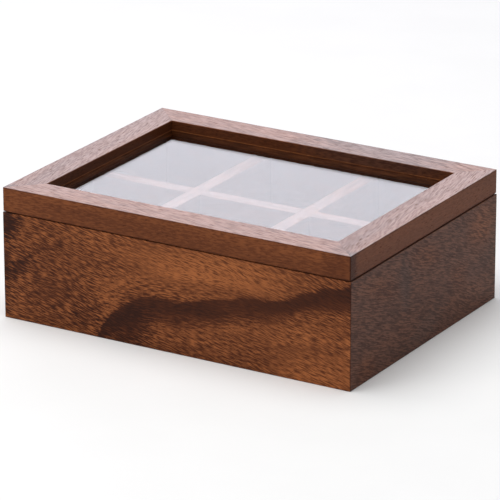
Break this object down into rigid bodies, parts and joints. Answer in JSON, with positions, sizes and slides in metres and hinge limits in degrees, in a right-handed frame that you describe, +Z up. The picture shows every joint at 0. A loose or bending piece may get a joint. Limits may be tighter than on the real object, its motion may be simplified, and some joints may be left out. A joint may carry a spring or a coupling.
{
  "type": "tea bag organizer box",
  "caption": "Hinged hardwood box with a framed glass lid and crossed dividers that make compartments for flat tea bag envelopes.",
  "frame": {"origin": "middle of the wooden box's underside, on the surface that it stands on", "axes": "+X along the front towards the right end, +Y from the front to the hinged back, +Z up"},
  "size_m": [0.24, 0.1849, 0.083],
  "materials": {
    "box_wood": "oiled satin hardwood, dark figure",
    "lid_wood": "oiled satin hardwood, straighter grain",
    "inner_wood": "plain sanded hardwood",
    "bottom_wood": "plain thin board",
    "pane_glass": "clear, polished",
    "hinge_brass": "satin brass"
  },
  "bodies": {
    "box": {"front_panel": "box_wood", "back_panel": "box_wood", "left_panel": "box_wood", "right_panel": "box_wood", "bottom_panel": "bottom_wood", "long_divider": "inner_wood", "cross_divider_left": "inner_wood", "cross_divider_right": "inner_wood", "box_leaf_left": "hinge_brass", "box_leaf_right": "hinge_brass", "hinge_pin_left": "hinge_brass", "hinge_pin_right": "hinge_brass", "box_leaf_screws": "hinge_brass"},
    "lid": {"lid_front_rail": "lid_wood", "lid_back_rail": "lid_wood", "lid_left_stile": "lid_wood", "lid_right_stile": "lid_wood", "glass_pane": "pane_glass", "bead_front": "inner_wood", "bead_back": "inner_wood", "bead_left": "inner_wood", "bead_right": "inner_wood", "lid_leaf_left": "hinge_brass", "lid_leaf_right": "hinge_brass", "lid_leaf_screws": "hinge_brass"}
  },
  "joints": [
    {"name": "lid_hinge", "type": "hinge", "parent": "box", "child": "lid", "pos_m": [0, 0.0925, 0.068], "axis": [-1, 0, 0], "range_deg": [0, 95]}
  ]
}
